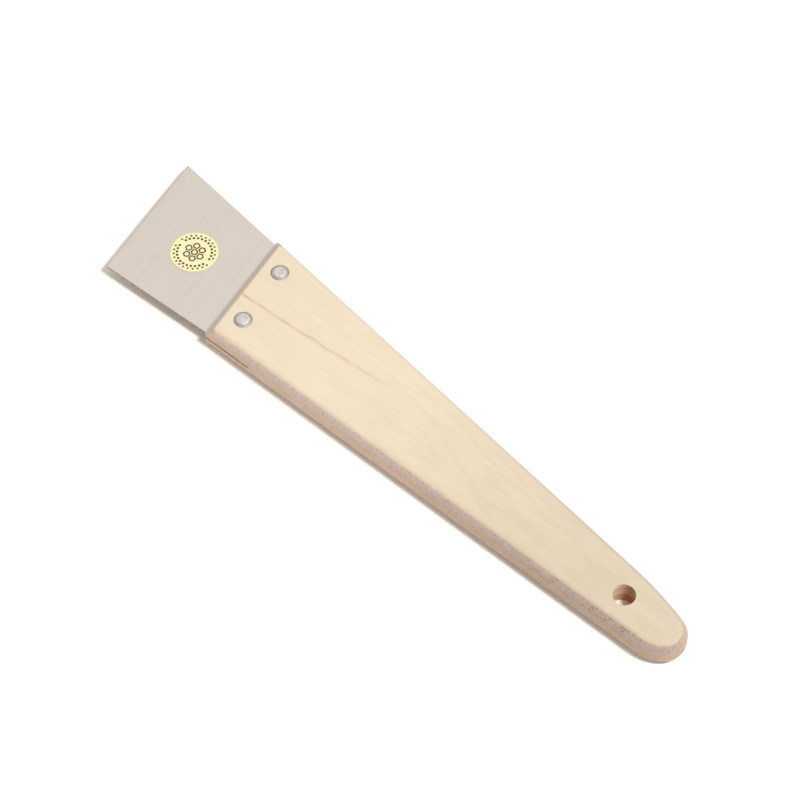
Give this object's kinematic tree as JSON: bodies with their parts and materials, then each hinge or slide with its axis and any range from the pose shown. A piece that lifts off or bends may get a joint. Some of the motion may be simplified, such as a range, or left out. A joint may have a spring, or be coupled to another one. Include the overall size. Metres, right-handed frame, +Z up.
{
  "type": "hive tool",
  "caption": "Flat skew-edged steel scraper blade riveted into the sawn front of a tapered, rounded plywood handle with a hanging hole.",
  "frame": {"origin": "middle of the overall bounding box in plan, on the resting face", "axes": "+X from the blade towards the handle tip along the handle's centre line, +Y towards the side whose front corners lead, +Z up out of the labelled face"},
  "size_m": [0.3062, 0.0608, 0.0128],
  "materials": {
    "steel": "fine cross-brushed satin",
    "face_veneer": "bare sanded pale veneer",
    "crossband": "bare porous end grain",
    "core": "bare long grain",
    "rivet_metal": "dull, lightly hammered",
    "washer_metal": "dull satin",
    "foil": "pale gold foil with dark print"
  },
  "bodies": {
    "root": {"blade": "steel", "face_veneer_top": "face_veneer", "crossband_top": "crossband", "core_ply": "core", "crossband_bottom": "crossband", "face_veneer_bottom": "face_veneer", "rivet_lead": "rivet_metal", "rivet_trail": "rivet_metal", "washer_lead": "washer_metal", "washer_trail": "washer_metal", "label": "foil"}
  },
  "joints": []
}
